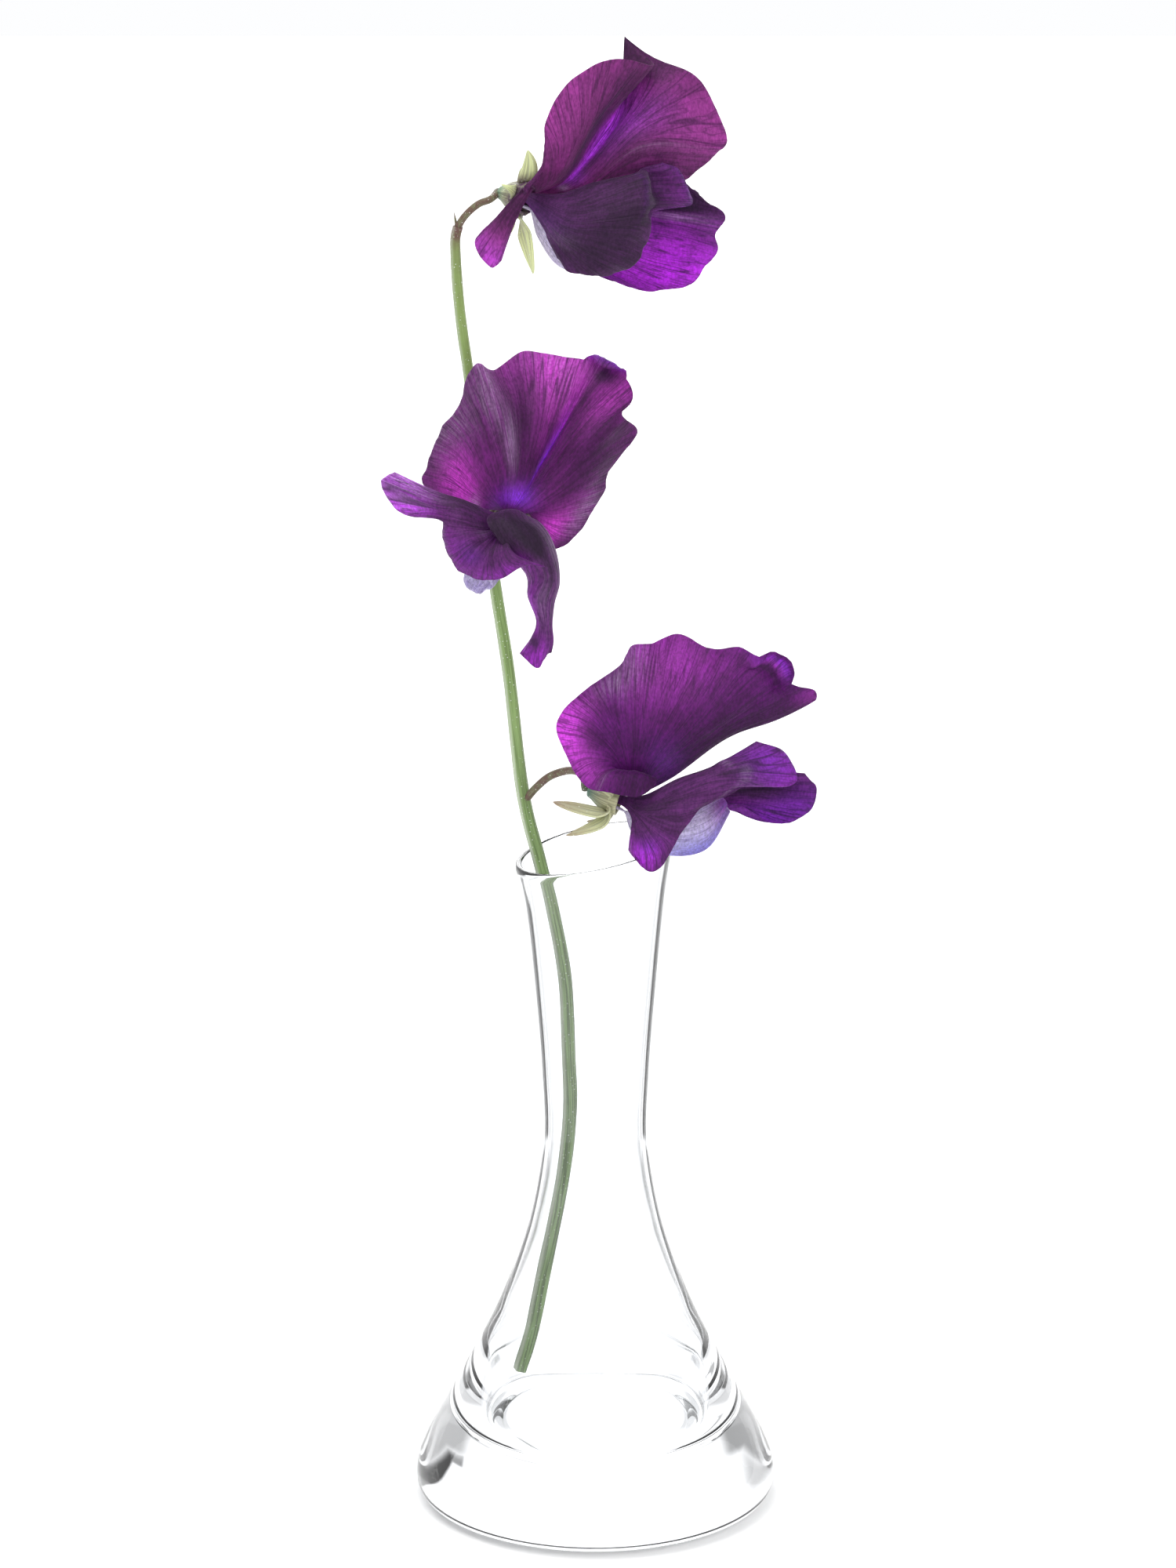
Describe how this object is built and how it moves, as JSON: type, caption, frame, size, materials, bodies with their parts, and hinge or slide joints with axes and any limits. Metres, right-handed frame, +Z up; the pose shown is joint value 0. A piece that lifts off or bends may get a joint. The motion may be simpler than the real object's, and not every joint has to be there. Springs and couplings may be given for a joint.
{
  "type": "sweet pea flower stem in a glass bud vase",
  "caption": "Cut sweet pea stem with dark purple flowers of ruffled petals in pale green calyces, standing in a clear glass bud vase with a slanted rim and a thick solid base.",
  "frame": {"origin": "centre of the vase's flat foot", "axes": "+Z up along the vase's axis, +X to the right and +Y away from the front, which is the side the picture shows"},
  "size_m": [0.0798, 0.068, 0.2779],
  "materials": {
    "glass": "clear polished",
    "stem_green": "fresh plant tissue, matt",
    "calyx_green": "fresh plant tissue, matt",
    "standard_petal": "velvety, veined",
    "wing_petal": "velvety, veined",
    "keel_petal": "smooth, translucent"
  },
  "bodies": {
    "root": {"vase": "glass", "stem": "stem_green", "calyx_top": "calyx_green", "standard_top": "standard_petal", "wing_near_top": "wing_petal", "wing_far_top": "wing_petal", "keel_top": "keel_petal", "calyx_middle": "calyx_green", "standard_middle": "standard_petal", "wing_left_middle": "wing_petal", "wing_right_middle": "wing_petal", "keel_middle": "keel_petal", "calyx_lower": "calyx_green", "standard_lower": "standard_petal", "wing_near_lower": "wing_petal", "wing_far_lower": "wing_petal", "keel_lower": "keel_petal"}
  },
  "joints": []
}
